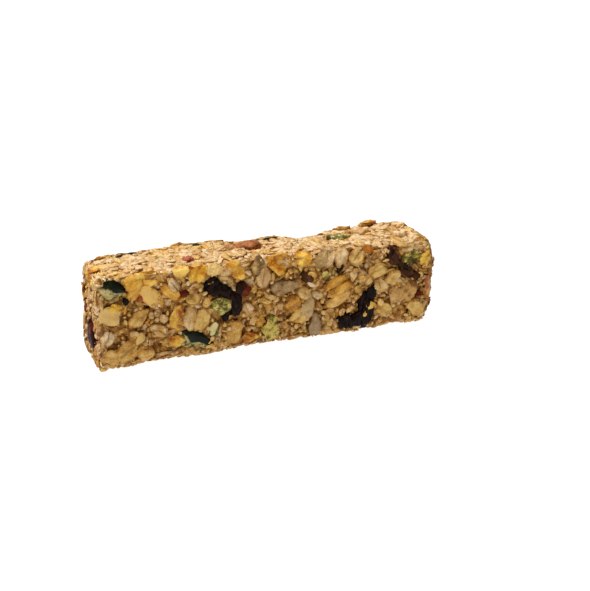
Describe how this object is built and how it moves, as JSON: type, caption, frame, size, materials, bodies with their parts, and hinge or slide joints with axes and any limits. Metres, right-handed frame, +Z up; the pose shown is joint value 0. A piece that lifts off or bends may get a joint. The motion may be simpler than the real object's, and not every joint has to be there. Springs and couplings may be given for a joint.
{
  "type": "granola bar",
  "caption": "Oblong pressed granola bar of oats, cereal flakes, seeds and nuts with raisins and dried berries set in its faces; it lies on its narrow flat underside.",
  "frame": {"origin": "middle of the bounding box's underside, on the surface that the bar lies on", "axes": "+X along the bar, towards its rounder end; -Y is the long front face; +Z up"},
  "size_m": [0.12, 0.0252, 0.0326],
  "materials": {
    "oat_mass": "matt to satin toasted oats and cereal flakes bound with a thin clear syrup",
    "raisin_skin": "dark wrinkled raisin skin with a soft gloss",
    "cranberry_skin": "dark red wrinkled dried berry with a sugary gloss",
    "almond_skin": "reddish brown papery almond skin, matt",
    "pumpkin_seed_skin": "dark green seed skin, satin, with paler green flesh where it is broken"
  },
  "bodies": {
    "root": {"bar": "oat_mass", "raisin_front_1": "raisin_skin", "raisin_front_2": "raisin_skin", "raisin_front_3": "raisin_skin", "raisin_front_4": "raisin_skin", "raisin_front_5": "raisin_skin", "raisin_front_6": "raisin_skin", "raisin_front_7": "raisin_skin", "raisin_back_1": "raisin_skin", "raisin_back_2": "raisin_skin", "raisin_back_3": "raisin_skin", "cranberry_left_end": "cranberry_skin", "cranberry_right_end": "cranberry_skin", "cranberry_back": "cranberry_skin", "almond_top": "almond_skin", "pumpkin_seed_front_1": "pumpkin_seed_skin", "pumpkin_seed_front_2": "pumpkin_seed_skin", "pumpkin_seed_top_1": "pumpkin_seed_skin", "pumpkin_seed_top_2": "pumpkin_seed_skin", "pumpkin_seed_top_3": "pumpkin_seed_skin", "pumpkin_seed_back": "pumpkin_seed_skin"}
  },
  "joints": []
}
